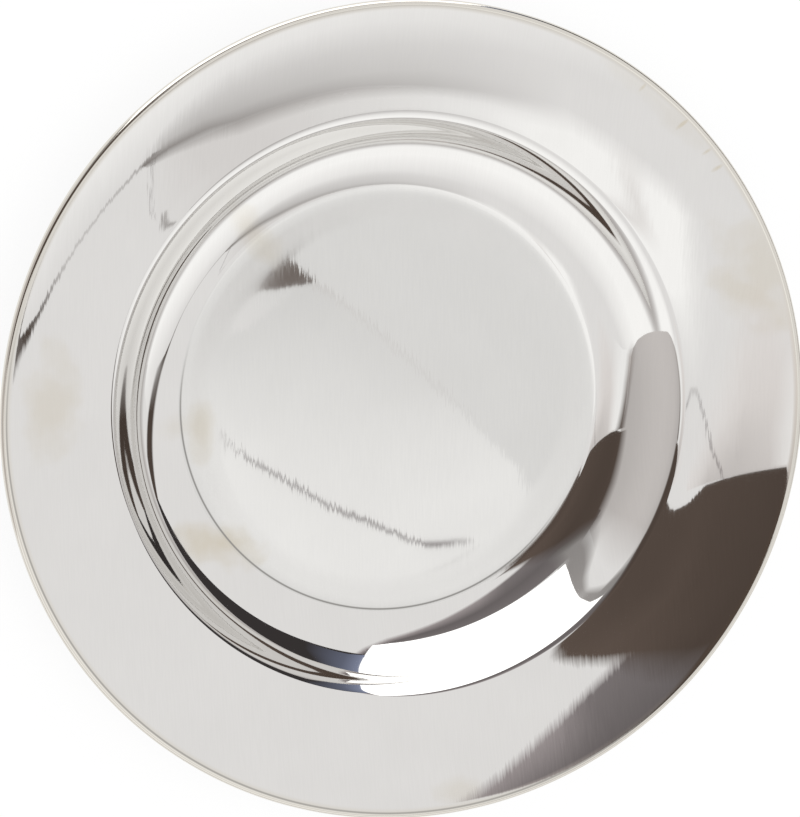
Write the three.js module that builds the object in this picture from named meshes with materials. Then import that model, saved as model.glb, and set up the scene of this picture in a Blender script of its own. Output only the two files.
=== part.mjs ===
// A round camping plate, pressed from one sheet of bright stainless steel.
//
// The sheet keeps one thickness from the middle of the floor to the rolled edge. Going outwards it is
// a floor that domes up a little and levels out at its edge, a flat ring that the plate stands on, a heel
// and a toe that lift the sheet off the ring, a wide cove, a nearly straight wall, a rounded shoulder,
// a wide dished rim, and a curl that turns the edge under.
//
// Millimetres, +Z up. The origin is below the middle of the floor, at the level the plate stands on.
import * as THREE from 'three';

// Driving dimensions. The radii are those of the upper skin, and slopes are in degrees from level.
const plateDiameter = 230;
const sheetThickness = 0.6;
const floorDiameter = 100;
const floorRise = 0.47;
const floorEdgeRadius = 270;
const standingRingWidth = 2.2;
const heelRadius = 43;
const heelSlope = 4;
const toeRadius = 7.8;
const toeSlope = 17.5;
const coveRadius = 36.7;
const coveSlope = 37;
const bendRadius = 27;
const bendSlope = 46.5;
const wallRadius = 50;
const wallSlope = 50.4;
const shoulderRadius = 6.8;
const rimInnerSlope = 17.3;
const rimLandWidth = 2.9;
const rimOuterSlope = 28.4;
const curlBore = 1.3;
const curlTurn = 270;

// How finely the round stretches are cut.
const turnSegments = 80;
const floorSteps = 2;
const floorEdgeSteps = 2;
const heelSteps = 1;
const toeSteps = 2;
const coveSteps = 4;
const bendSteps = 2;
const wallSteps = 1;
const shoulderSteps = 4;
const rimSteps = 4;
const curlSteps = 9;

const radians = THREE.MathUtils.degToRad;

// One point of the sheet's upper skin, with the slope of the sheet there.
function skinPoint(r, z, slope) {
  return { r, z, slope };
}

// Continues the skin outwards along an arc that starts at the skin's last point and takes the sheet
// from one slope to another. A hollow arc has a positive radius, and a crowned one a negative radius.
function addArc(skin, radius, fromSlope, toSlope, steps) {
  const start = skin.at(-1);
  const centreR = start.r - radius * Math.sin(fromSlope);
  const centreZ = start.z + radius * Math.cos(fromSlope);
  for (let step = 1; step <= steps; step += 1) {
    const slope = THREE.MathUtils.lerp(fromSlope, toSlope, step / steps);
    skin.push(skinPoint(centreR + radius * Math.sin(slope), centreZ - radius * Math.cos(slope), slope));
  }
}

// The floor: a dome from the axis outwards, and a hollow edge that brings the sheet level.
function addFloor(skin) {
  const domeEdge = floorDiameter / 2;
  const domeRadius = (domeEdge ** 2 + floorRise ** 2) / (2 * floorRise);
  const edgeSlope = Math.asin(domeEdge / domeRadius);
  const edgeDrop = floorEdgeRadius * (1 - Math.cos(edgeSlope));
  skin.push(skinPoint(0, sheetThickness + floorRise + edgeDrop, 0));
  addArc(skin, -domeRadius, 0, -edgeSlope, floorSteps);
  addArc(skin, floorEdgeRadius, -edgeSlope, 0, floorEdgeSteps);
}

// The flat ring that the plate stands on.
function addStandingRing(skin) {
  const { r, z } = skin.at(-1);
  skin.push(skinPoint(r + standingRingWidth, z, 0));
}

// The heel and the toe that lift the sheet off the ring, the cove, the bend into the wall, the wall, which
// is steepest half way up, and the shoulder.
function addWall(skin) {
  addArc(skin, heelRadius, 0, radians(heelSlope), heelSteps);
  addArc(skin, toeRadius, radians(heelSlope), radians(toeSlope), toeSteps);
  addArc(skin, coveRadius, radians(toeSlope), radians(coveSlope), coveSteps);
  addArc(skin, bendRadius, radians(coveSlope), radians(bendSlope), bendSteps);
  addArc(skin, wallRadius, radians(bendSlope), radians(wallSlope), wallSteps);
  addArc(skin, -wallRadius, radians(wallSlope), radians(bendSlope), wallSteps);
  addArc(skin, -shoulderRadius, radians(bendSlope), radians(rimInnerSlope), shoulderSteps);
}

// The rim: a narrow straight land behind the shoulder, then a dish that steepens until it runs into the
// curl, and the curl itself.
function addRim(skin) {
  const innerSlope = radians(rimInnerSlope);
  const outerSlope = radians(rimOuterSlope);
  const shoulderEnd = skin.at(-1);
  const landRise = rimLandWidth * Math.tan(innerSlope);
  skin.push(skinPoint(shoulderEnd.r + rimLandWidth, shoulderEnd.z + landRise, innerSlope));
  const curlRadius = curlBore / 2 + sheetThickness;
  const rimEnd = plateDiameter / 2 - curlRadius * (1 + Math.sin(outerSlope));
  const rimRadius = (rimEnd - skin.at(-1).r) / (Math.sin(outerSlope) - Math.sin(innerSlope));
  addArc(skin, rimRadius, innerSlope, outerSlope, rimSteps);
  addArc(skin, -curlRadius, outerSlope, outerSlope - radians(curlTurn), curlSteps);
}

// The closed section of the sheet: out along the lower skin, and back along the upper one.
function plateSection() {
  const upperSkin = [];
  addFloor(upperSkin);
  addStandingRing(upperSkin);
  addWall(upperSkin);
  addRim(upperSkin);
  const lower = upperSkin.map(({ r, z, slope }) => new THREE.Vector2(
    r + sheetThickness * Math.sin(slope),
    z - sheetThickness * Math.cos(slope),
  ));
  const upper = upperSkin.map(({ r, z }) => new THREE.Vector2(r, z));
  return [...lower, ...upper.reverse()];
}

function pressedPlate() {
  const geometry = new THREE.LatheGeometry(plateSection(), turnSegments);
  geometry.rotateX(Math.PI / 2);
  const steel = new THREE.MeshStandardMaterial({ color: 0xd9d7d3, roughness: 0.12, metalness: 1 });
  const mesh = new THREE.Mesh(geometry, steel);
  mesh.name = 'pressed_plate';
  return mesh;
}

const campingPlate = new THREE.Group();
campingPlate.add(pressedPlate());

export default campingPlate;
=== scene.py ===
"""The looks of a round camping plate, pressed from one sheet of bright stainless steel.

A Geometry Nodes tree turns the plate's section round its axis. The steel has a fine rolling grain, a few
water marks and a duller underside. A small studio of plain panels gives the bright steel something to
mirror. Metres, +Z up, in the frame of the solid model: the origin is below the middle of the floor, at
the level the plate stands on.
"""

import math
from collections import Counter, namedtuple

import bpy
from bpy.props import FloatProperty, FloatVectorProperty, PointerProperty
from mathutils import Matrix, Vector


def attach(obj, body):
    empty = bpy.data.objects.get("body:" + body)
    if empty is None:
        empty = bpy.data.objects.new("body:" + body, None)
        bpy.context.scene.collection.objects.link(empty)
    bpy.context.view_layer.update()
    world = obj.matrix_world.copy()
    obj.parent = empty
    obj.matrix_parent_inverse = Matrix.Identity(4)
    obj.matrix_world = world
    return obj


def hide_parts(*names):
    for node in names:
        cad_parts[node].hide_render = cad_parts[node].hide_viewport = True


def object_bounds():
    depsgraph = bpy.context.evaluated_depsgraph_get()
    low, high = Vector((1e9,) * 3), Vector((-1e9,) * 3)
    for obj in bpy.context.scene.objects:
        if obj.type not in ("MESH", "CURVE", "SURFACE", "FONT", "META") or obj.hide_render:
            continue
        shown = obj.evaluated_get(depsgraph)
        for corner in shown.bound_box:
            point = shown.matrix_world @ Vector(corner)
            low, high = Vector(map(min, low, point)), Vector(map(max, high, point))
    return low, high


bl_info = {
    "name": "Camping Plate",
    "version": (1, 0, 0),
    "blender": (4, 5, 0),
    "location": "3D View > Sidebar > Camping Plate",
    "description": "Builds a pressed steel camping plate and a small studio to see it in",
    "category": "Add Mesh",
}

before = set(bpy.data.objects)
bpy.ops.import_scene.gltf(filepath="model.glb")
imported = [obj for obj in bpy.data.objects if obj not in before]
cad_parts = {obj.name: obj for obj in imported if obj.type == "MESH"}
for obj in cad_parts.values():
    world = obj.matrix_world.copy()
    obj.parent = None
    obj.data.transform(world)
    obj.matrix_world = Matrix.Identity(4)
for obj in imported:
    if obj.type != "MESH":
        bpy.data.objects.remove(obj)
CAD_LOW, CAD_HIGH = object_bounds()

PLATE_NODE = "pressed_plate"
PLATE_BODY = "root"
STEEL_SLOT = "bright_steel"
UNDERSIDE = "underside"
PANEL_TONE = "tone"

# How finely the plate's section and its turn are cut.
TURNS = 320
FLOOR_STEPS = 12
FLOOR_EDGE_STEPS = 8
RING_STEPS = 2
HEEL_STEPS = 6
TOE_STEPS = 8
COVE_STEPS = 20
BEND_STEPS = 8
WALL_STEPS = 6
SHOULDER_STEPS = 20
LAND_STEPS = 2
RIM_STEPS = 24
CURL_STEPS = 18
WELD_DISTANCE = 2e-5
SHARP_ANGLE = math.radians(40)

# The rolling grain: the radii between which its tilt goes from the floor's to the wall's, and from the
# wall's to the rim's, then the detail of the streaks and how far they swing from side to side.
FLOOR_GRAIN_END = 0.052
WALL_GRAIN_START = 0.064
WALL_GRAIN_END = 0.083
RIM_GRAIN_START = 0.091
STREAK_DETAIL = 2.0
STREAK_BREAKUP = 0.6
STREAK_SWING = 6.0

# The unevenness of the steel: the clouds in it, the shade where they and the streaks are darkest, and the
# roughness that streaks, clouds and water marks add.
CLOUD_SCALE = 45.0
CLOUD_DETAIL = 3.0
CLOUD_BREAKUP = 0.5
CLOUD_RANGE = (0.35, 0.65)
STREAK_RANGE = (0.3, 0.7)
DARKEST_SHADE = 0.985
STREAK_ROUGHNESS = 0.01
CLOUD_ROUGHNESS = 0.12
STAIN_ROUGHNESS = 0.12

# The outline of a water mark: its waves and how far they move it. Then where the stain fades in, where its
# tide line does, both as shares of the mark's half size, and the strength of the tide line.
WAVE_SCALE = 110.0
WAVE_DETAIL = 2.0
WAVE_BREAKUP = 0.5
WAVE_SWING = 1.2
STAIN_RANGE = (1.2, 0.1)
TIDE_RANGE = (0.6, 0.85)
TIDE_STRENGTH = 0.4

# The haze round the edge of the floor: how far it reaches in over the dome and out past the crease, and the
# roughness that it adds.
HAZE_REACH = 0.0015
HAZE_OVERRUN = 0.003
HAZE_ROUGHNESS = 0.18

# The painted shade of a dark line in the crease: half its width in metres, the side where it is strongest,
# in degrees, and the cosines of the turn from there at which it is gone and full.
CREASE_WIDTH = 0.00045
CREASE_AZIMUTH = 245
CREASE_RANGE = (0.05, 0.5)

# The thin line of painted shade inside the rolled edge, on the same side: its radius and half its width in
# metres, and its strength.
EDGE_LINE_RADIUS = 0.1133
EDGE_LINE_WIDTH = 0.0004
EDGE_LINE = 0.75

# The scuffs on the ring that the plate stands on: the streaks that they follow, and how much they darken and
# roughen the steel.
SCUFF_RANGE = (0.4, 0.6)
SCUFF_SHADE = 0.25
SCUFF_ROUGHNESS = 0.2

# The tan stain on the rolled edge: the radii where it starts and is full, and its strength.
EDGE_STAIN_START = 0.1118
EDGE_STAIN_FULL = 0.1134
EDGE_STAIN = 0.4

# A dried drop: its middle (x, y), width and length in metres, its turn in degrees, and its strength.
WaterMark = namedtuple("WaterMark", "middle width length turn strength")
WATER_MARKS = (
    WaterMark((-0.0995, 0.0055), 0.018, 0.034, 0, 0.42),
    WaterMark((0.1025, 0.0385), 0.026, 0.036, 20, 0.42),
    WaterMark((0.1007, 0.0303), 0.011, 0.036, -124, 0.45),
    WaterMark((-0.0547, -0.0056), 0.009, 0.02, 0, 0.5),
    WaterMark((-0.0495, -0.0387), 0.012, 0.03, -108, 0.75),
    WaterMark((-0.0385, 0.0486), 0.01, 0.026, 38, 0.42),
    WaterMark((-0.0605, -0.005), 0.008, 0.016, 95, 0.22),
    WaterMark((0.0144, -0.1089), 0.02, 0.008, 0, 0.3),
    WaterMark((0.0732, 0.0838), 0.007, 0.06, 48, 0.2),
    WaterMark((0.0888, 0.067), 0.0014, 0.004, -53, 0.7),
    WaterMark((0.0854, 0.0716), 0.0014, 0.004, -50, 0.7),
    WaterMark((0.0783, 0.0796), 0.0014, 0.005, -44, 0.8),
    WaterMark((0.0663, 0.0899), 0.0014, 0.004, -36, 0.7),
)

# The view of the photograph.
PHOTO_HEIGHT = 817
FOCAL_LENGTH_PIXELS = 3601.5
SENSOR_WIDTH = 36.0
CAMERA_DISTANCE = 1.0
CAMERA_CLIP_START = 0.01
CAMERA_AZIMUTH = math.radians(148.914)
CAMERA_TILT = math.radians(16.618)
CAMERA_TARGET = Vector((-0.003309, 0.001804, 0.026864))

# The floor, the lamp and the dome of panels.
FLOOR_SIZE = 6.0
FLOOR_DROP = 0.0002
FLOOR_SHADOW_SHARE = 0.15
LAMP_HEIGHT = 2.0
LAMP_SIZE = 1.2
LAMP_POWER = 12.0
STUDIO_RADIUS = 1.2
PANEL_SPACING = 0.003
PANEL_CUTS = 6

# A studio panel is rows of directions. A direction is an azimuth and a tilt in degrees, and may be followed
# by a shade and a density of its own.
Row = namedtuple("Row", "shade density points")
Panel = namedtuple("Panel", "name tone rows")

# The kinds of node sockets, and the sockets that all stretches of the sheet share.
VECTOR = "NodeSocketVector"
FLOAT = "NodeSocketFloat"
INTEGER = "NodeSocketInt"
BOOLEAN = "NodeSocketBool"
GEOMETRY = "NodeSocketGeometry"
STRETCH_INPUTS = {"Start": VECTOR, "Sheet": FLOAT, "Steps": INTEGER, "Turns": INTEGER}
STRETCH_OUTPUTS = {"Skins": GEOMETRY, "End": VECTOR}

# Where the nodes of a tree are set.
NODE_COLUMN_WIDTH = 200
NODE_ROW_HEIGHT = 220


def direction(azimuth, tilt):
    """A direction by its azimuth from +X and its tilt from straight up, both in radians."""
    return Vector((math.sin(tilt) * math.cos(azimuth), math.sin(tilt) * math.sin(azimuth), math.cos(tilt)))


def direction_degrees(azimuth, tilt):
    return direction(math.radians(azimuth), math.radians(tilt))


def length_property(name, description, default):
    return FloatProperty(
        name=name, description=description, default=default, precision=5, subtype="DISTANCE", unit="LENGTH"
    )


def angle_property(name, description, degrees):
    return FloatProperty(
        name=name, description=description, default=math.radians(degrees), subtype="ANGLE", unit="ROTATION"
    )


def factor_property(name, description, default):
    return FloatProperty(name=name, description=description, default=default, min=0.0, subtype="FACTOR")


def color_property(name, description, default):
    return FloatVectorProperty(name=name, description=description, default=default, size=3, subtype="COLOR")


class PlateSizes(bpy.types.PropertyGroup):
    """Sizes of the pressed sheet. Radii are those of the upper skin, and slopes are from level."""

    plate_diameter: length_property(
        "Plate diameter", "Across the outside of the rolled edge", round(CAD_HIGH.x - CAD_LOW.x, 4)
    )
    sheet_thickness: length_property("Sheet thickness", "Thickness of the steel sheet", 0.0006)
    floor_diameter: length_property("Floor diameter", "Across the domed part of the floor", 0.1)
    floor_rise: length_property("Floor rise", "How far the floor domes up in the middle", 0.00047)
    floor_edge_radius: length_property("Floor edge radius", "Radius that levels the edge of the floor", 0.27)
    standing_ring_width: length_property("Standing ring", "Width of the ring the plate stands on", 0.0022)
    heel_radius: length_property("Heel radius", "Radius that starts to lift the sheet off the ring", 0.043)
    heel_slope: angle_property("Heel slope", "Slope where the heel runs into the toe", 4.0)
    toe_radius: length_property("Toe radius", "Tight radius at the foot of the wall", 0.0078)
    toe_slope: angle_property("Toe slope", "Slope where the toe runs into the cove", 17.5)
    cove_radius: length_property("Cove radius", "Radius of the hollow cove", 0.0367)
    cove_slope: angle_property("Cove slope", "Slope where the cove runs into the bend", 37.0)
    bend_radius: length_property("Bend radius", "Tighter radius between the cove and the wall", 0.027)
    bend_slope: angle_property("Bend slope", "Slope at the lower and the upper end of the wall", 46.5)
    wall_radius: length_property("Wall radius", "Radius of the nearly straight wall", 0.05)
    wall_slope: angle_property("Wall slope", "Steepest slope of the wall", 50.4)
    shoulder_radius: length_property("Shoulder radius", "Radius of the crowned shoulder", 0.0068)
    rim_inner_slope: angle_property("Rim inner slope", "Slope of the rim behind the shoulder", 17.3)
    rim_land_width: length_property("Rim land", "Width of the straight land behind the shoulder", 0.0029)
    rim_outer_slope: angle_property("Rim outer slope", "Slope of the rim at the rolled edge", 28.4)
    curl_bore: length_property("Curl bore", "Bore of the rolled edge", 0.0013)
    curl_turn: angle_property("Curl turn", "How far the edge is rolled", 270.0)


class SteelFinish(bpy.types.PropertyGroup):
    """Finish of the bright steel."""

    steel_color: color_property("Steel", "Colour of the bare steel", (0.8, 0.79, 0.77))
    # Painted shade: the colour of the dark lines in the crease and inside the rolled edge, on one side only.
    tarnish_color: color_property("Painted shade", "Dark line at the foot of the wall", (0.3, 0.29, 0.275))
    mark_color: color_property("Water marks", "Colour that dried water leaves", (0.67, 0.61, 0.49))
    bright_roughness: factor_property("Bright roughness", "Roughness of the upper side", 0.02)
    dull_roughness: factor_property("Dull roughness", "Roughness of the underside", 0.3)
    grain_pitch: length_property("Grain pitch", "Distance between the rolling streaks", 0.0005)
    grain_length: length_property("Grain length", "Length of the rolling streaks", 0.009)
    floor_grain_tilt: angle_property("Grain tilt, floor", "How far a streak tilts the floor", 0.13)
    wall_grain_tilt: angle_property("Grain tilt, wall", "How far a streak tilts the wall", 0.015)
    rim_grain_tilt: angle_property("Grain tilt, rim", "How far a streak tilts the stretched rim", 0.17)


class StudioLook(bpy.types.PropertyGroup):
    """Tones of the floor, the surroundings and the panels."""

    floor_color: color_property("Floor", "Colour of the plain floor", (0.93, 0.93, 0.93))
    surroundings_color: color_property("Surroundings", "Tone of the empty studio", (0.905, 0.898, 0.9))
    softbox_color: color_property("Softbox", "Tone of the large softbox", (1.85, 1.85, 1.85))
    hood_color: color_property("Hood", "Tone of the softbox's shaded hood", (0.24, 0.216, 0.22))
    beam_color: color_property("Beam", "Tone of the dark beam overhead", (0.105, 0.079, 0.066))
    wall_color: color_property("Wall panel", "Tone of the warm grey wall panel", (0.64, 0.61, 0.6))
    flag_color: color_property("Flag", "Tone of the black flag", (0.045, 0.04, 0.04))
    flag_side_color: color_property("Flag side", "Tone of the flag's blue side", (0.2, 0.225, 0.32))
    fill_color: color_property("Fill", "Tone of the white fill panel", (1.15, 1.15, 1.15))


class NodeBoard:
    """Puts nodes on a tree and links them, so that a formula reads as one line."""

    def __init__(self, tree):
        self.tree = tree

    def add(self, kind, inputs=None, **settings):
        node = self.tree.nodes.new(kind)
        for name, value in settings.items():
            setattr(node, name, value)
        for name, value in (inputs or {}).items():
            self.feed(node.inputs[name], value)
        return node

    def feed(self, socket, value):
        if isinstance(value, bpy.types.NodeSocket):
            self.tree.links.new(value, socket)
        else:
            socket.default_value = value

    def math(self, operation, *values):
        node = self.add("ShaderNodeMath", operation=operation)
        for socket, value in zip(node.inputs, values):
            self.feed(socket, value)
        return node.outputs[0]

    def vector(self, operation, *values):
        node = self.add("ShaderNodeVectorMath", operation=operation)
        for socket, value in zip(node.inputs, values):
            self.feed(socket, value)
        return node.outputs[0]

    def negative(self, value):
        return self.math("MULTIPLY", value, -1.0)

    def scaled(self, vector, scale):
        node = self.add("ShaderNodeVectorMath", {"Vector": vector, "Scale": scale}, operation="SCALE")
        return node.outputs[0]

    def length(self, vector):
        return self.add("ShaderNodeVectorMath", {0: vector}, operation="LENGTH").outputs["Value"]

    def dot(self, first, second):
        node = self.add("ShaderNodeVectorMath", {0: first, 1: second}, operation="DOT_PRODUCT")
        return node.outputs["Value"]

    def noise(self, place, scale, detail, breakup, dimensions):
        inputs = {"Vector": place, "Scale": scale, "Detail": detail, "Roughness": breakup}
        return self.add("ShaderNodeTexNoise", inputs, noise_dimensions=dimensions).outputs["Fac"]

    def point(self, x, y, z):
        return self.add("ShaderNodeCombineXYZ", {"X": x, "Y": y, "Z": z}).outputs[0]

    def parts(self, vector):
        return self.add("ShaderNodeSeparateXYZ", {"Vector": vector}).outputs

    def ramp(self, value, low, high, to_low=0.0, to_high=1.0):
        """Smoothly takes a value from one range to another, and stops at the ends."""
        inputs = {"Value": value, "From Min": low, "From Max": high, "To Min": to_low, "To Max": to_high}
        return self.add("ShaderNodeMapRange", inputs, interpolation_type="SMOOTHSTEP").outputs["Result"]

    def mix(self, kind, factor, first, second):
        """Mixes two numbers or two colours."""
        inputs = {"Factor": factor, "A": first, "B": second}
        return self.add("ShaderNodeMix", inputs, data_type=kind).outputs["Result"]

    def joined(self, shapes):
        """Joins shapes into one."""
        node = self.add("GeometryNodeJoinGeometry")
        for shape in shapes:
            self.feed(node.inputs[0], shape)
        return node.outputs[0]

    def group(self, tree, inputs):
        """Places a node group and returns its output sockets."""
        return self.add(tree.bl_idname.replace("Tree", "Group"), inputs, node_tree=tree).outputs

    def lay_out(self):
        """Sets the nodes in columns, each to the right of what feeds it."""
        feeding = {node.name: set() for node in self.tree.nodes}
        for link in self.tree.links:
            feeding[link.to_node.name].add(link.from_node.name)
        column_of = {}

        def find_column(name):
            if name not in column_of:
                column_of[name] = 1 + max(map(find_column, feeding[name]), default=0)
            return column_of[name]

        rows_in = Counter()
        for node in self.tree.nodes:
            column = find_column(node.name)
            rows_in[column] += 1
            node.location = (column * NODE_COLUMN_WIDTH, -rows_in[column] * NODE_ROW_HEIGHT)


def new_group(kind, name, inputs, outputs):
    """A node group with named sockets: its board, its input sockets by name, and its output node."""
    tree = bpy.data.node_groups.new(name, kind)
    for socket_name, socket_kind in inputs.items():
        tree.interface.new_socket(socket_name, in_out="INPUT", socket_type=socket_kind)
    for socket_name, socket_kind in outputs.items():
        tree.interface.new_socket(socket_name, in_out="OUTPUT", socket_type=socket_kind)
    board = NodeBoard(tree)
    given = board.add("NodeGroupInput").outputs
    result = board.add("NodeGroupOutput")
    return board, given, result


def geometry_group(name, inputs, outputs):
    return new_group("GeometryNodeTree", name, inputs, outputs)


def shader_group(name, inputs, outputs):
    return new_group("ShaderNodeTree", name, inputs, outputs)


def strip_share(board):
    """How far a point lies along its strip of skin, from 0 to 1."""
    position = board.add("GeometryNodeInputPosition").outputs[0]
    return board.math("ADD", board.parts(position)["X"], 0.5)


def down_through_sheet(board, slope):
    """The direction from the upper skin to the lower one, where the sheet has this slope."""
    return board.point(board.math("SINE", slope), 0.0, board.negative(board.math("COSINE", slope)))


def turned_skin_tree():
    """A strip of skin, turned once round the axis. Its section is a field over the strip's share."""
    board, given, result = geometry_group(
        "Turned skin",
        {"Section": VECTOR, "Steps": INTEGER, "Turns": INTEGER, "Underside": BOOLEAN},
        {"Skin": GEOMETRY},
    )
    grid = board.add(
        "GeometryNodeMeshGrid",
        {
            "Size X": 1.0,
            "Size Y": 1.0,
            "Vertices X": board.math("ADD", given["Steps"], 1.0),
            "Vertices Y": board.math("ADD", given["Turns"], 1.0),
        },
    )
    position = board.add("GeometryNodeInputPosition").outputs[0]
    turn = board.math("MULTIPLY", board.math("ADD", board.parts(position)["Y"], 0.5), math.tau)
    turned = board.add(
        "ShaderNodeVectorRotate", {"Vector": given["Section"], "Angle": turn}, rotation_type="Z_AXIS"
    )
    placed = board.add(
        "GeometryNodeSetPosition", {"Geometry": grid.outputs["Mesh"], "Position": turned.outputs[0]}
    )
    faced = board.add("GeometryNodeFlipFaces", {"Mesh": placed.outputs[0], "Selection": given["Underside"]})
    marked = board.add(
        "GeometryNodeStoreNamedAttribute",
        {"Geometry": faced.outputs[0], "Name": UNDERSIDE, "Value": given["Underside"]},
        data_type="FLOAT",
        domain="POINT",
    )
    board.feed(result.inputs["Skin"], marked.outputs[0])
    board.lay_out()
    return board.tree


def both_skins(board, turned_skin, given, upper, lower):
    """The upper and the lower skin of one stretch of the sheet, joined."""
    common = {"Steps": given["Steps"], "Turns": given["Turns"]}
    upper_skin = board.group(turned_skin, {"Section": upper, "Underside": False, **common})
    lower_skin = board.group(turned_skin, {"Section": lower, "Underside": True, **common})
    return board.joined((upper_skin["Skin"], lower_skin["Skin"]))


def round_stretch_tree(turned_skin):
    """A stretch of the sheet along an arc between two slopes. A crowned arc has a negative radius."""
    board, given, result = geometry_group(
        "Round stretch",
        {**STRETCH_INPUTS, "Radius": FLOAT, "From Slope": FLOAT, "To Slope": FLOAT},
        STRETCH_OUTPUTS,
    )
    start_arm = board.scaled(down_through_sheet(board, given["From Slope"]), given["Radius"])
    centre = board.vector("SUBTRACT", given["Start"], start_arm)
    turned = board.math("SUBTRACT", given["To Slope"], given["From Slope"])
    slope = board.math("MULTIPLY_ADD", turned, strip_share(board), given["From Slope"])
    down = down_through_sheet(board, slope)
    lower_radius = board.math("ADD", given["Radius"], given["Sheet"])
    upper = board.vector("ADD", centre, board.scaled(down, given["Radius"]))
    lower = board.vector("ADD", centre, board.scaled(down, lower_radius))
    end_arm = board.scaled(down_through_sheet(board, given["To Slope"]), given["Radius"])
    board.feed(result.inputs["Skins"], both_skins(board, turned_skin, given, upper, lower))
    board.feed(result.inputs["End"], board.vector("ADD", centre, end_arm))
    board.lay_out()
    return board.tree


def straight_stretch_tree(turned_skin):
    """A straight stretch of the sheet at one slope."""
    board, given, result = geometry_group(
        "Straight stretch", {**STRETCH_INPUTS, "Width": FLOAT, "Slope": FLOAT}, STRETCH_OUTPUTS
    )
    rise = board.math("MULTIPLY", given["Width"], board.math("TANGENT", given["Slope"]))
    stretch = board.point(given["Width"], 0.0, rise)
    through = board.scaled(down_through_sheet(board, given["Slope"]), given["Sheet"])
    upper = board.vector("ADD", given["Start"], board.scaled(stretch, strip_share(board)))
    lower = board.vector("ADD", upper, through)
    board.feed(result.inputs["Skins"], both_skins(board, turned_skin, given, upper, lower))
    board.feed(result.inputs["End"], board.vector("ADD", given["Start"], stretch))
    board.lay_out()
    return board.tree


class PressedSheet:
    """A sheet that is pressed stretch by stretch: each one starts where the last one ends."""

    def __init__(self, board, given):
        self.board = board
        self.given = given
        self.thickness = given["Sheet Thickness"]
        self.turned_skin = turned_skin_tree()
        self.round_stretch = round_stretch_tree(self.turned_skin)
        self.straight_stretch = straight_stretch_tree(self.turned_skin)
        self.skins = []
        self.end = None

    def start(self, height):
        """Starts the sheet on the axis."""
        self.end = self.board.point(0.0, 0.0, height)

    def add(self, stretch, steps, sizes):
        inputs = {"Start": self.end, "Sheet": self.thickness, "Steps": steps, "Turns": TURNS, **sizes}
        made = self.board.group(stretch, inputs)
        self.skins.append(made["Skins"])
        self.end = made["End"]

    def add_round(self, radius, from_slope, to_slope, steps):
        sizes = {"Radius": radius, "From Slope": from_slope, "To Slope": to_slope}
        self.add(self.round_stretch, steps, sizes)

    def add_straight(self, width, slope, steps):
        self.add(self.straight_stretch, steps, {"Width": width, "Slope": slope})

    def close(self, slope):
        """Closes the cut edge, where the sheet has this slope."""
        through = self.board.scaled(down_through_sheet(self.board, slope), self.thickness)
        section = self.board.vector("ADD", self.end, self.board.scaled(through, strip_share(self.board)))
        inputs = {"Section": section, "Steps": 1, "Turns": TURNS, "Underside": False}
        self.skins.append(self.board.group(self.turned_skin, inputs)["Skin"])


def press_floor(sheet):
    """The floor: a dome, a hollow edge that brings the sheet level, and the flat standing ring."""
    board = sheet.board
    given = sheet.given
    floor_radius = board.math("MULTIPLY", given["Floor Diameter"], 0.5)
    twice_rise = board.math("MULTIPLY", given["Floor Rise"], 2.0)
    rise_squared = board.math("POWER", given["Floor Rise"], 2.0)
    squares = board.math("MULTIPLY_ADD", floor_radius, floor_radius, rise_squared)
    crown = board.math("DIVIDE", squares, board.negative(twice_rise))
    edge_slope = board.math("ARCSINE", board.math("DIVIDE", floor_radius, crown))
    edge_sag = board.math("SUBTRACT", 1.0, board.math("COSINE", edge_slope))
    edge_drop = board.math("MULTIPLY", given["Floor Edge Radius"], edge_sag)
    sheet.start(board.math("ADD", board.math("ADD", sheet.thickness, given["Floor Rise"]), edge_drop))
    sheet.add_round(crown, 0.0, edge_slope, FLOOR_STEPS)
    sheet.add_round(given["Floor Edge Radius"], edge_slope, 0.0, FLOOR_EDGE_STEPS)
    sheet.add_straight(given["Standing Ring Width"], 0.0, RING_STEPS)


def press_wall(sheet):
    """The heel, the toe, the cove, the bend, the wall, which is steepest half way up, and the shoulder."""
    given = sheet.given
    sheet.add_round(given["Heel Radius"], 0.0, given["Heel Slope"], HEEL_STEPS)
    sheet.add_round(given["Toe Radius"], given["Heel Slope"], given["Toe Slope"], TOE_STEPS)
    sheet.add_round(given["Cove Radius"], given["Toe Slope"], given["Cove Slope"], COVE_STEPS)
    sheet.add_round(given["Bend Radius"], given["Cove Slope"], given["Bend Slope"], BEND_STEPS)
    sheet.add_round(given["Wall Radius"], given["Bend Slope"], given["Wall Slope"], WALL_STEPS)
    upper_wall = sheet.board.negative(given["Wall Radius"])
    sheet.add_round(upper_wall, given["Wall Slope"], given["Bend Slope"], WALL_STEPS)
    shoulder = sheet.board.negative(given["Shoulder Radius"])
    sheet.add_round(shoulder, given["Bend Slope"], given["Rim Inner Slope"], SHOULDER_STEPS)


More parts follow.
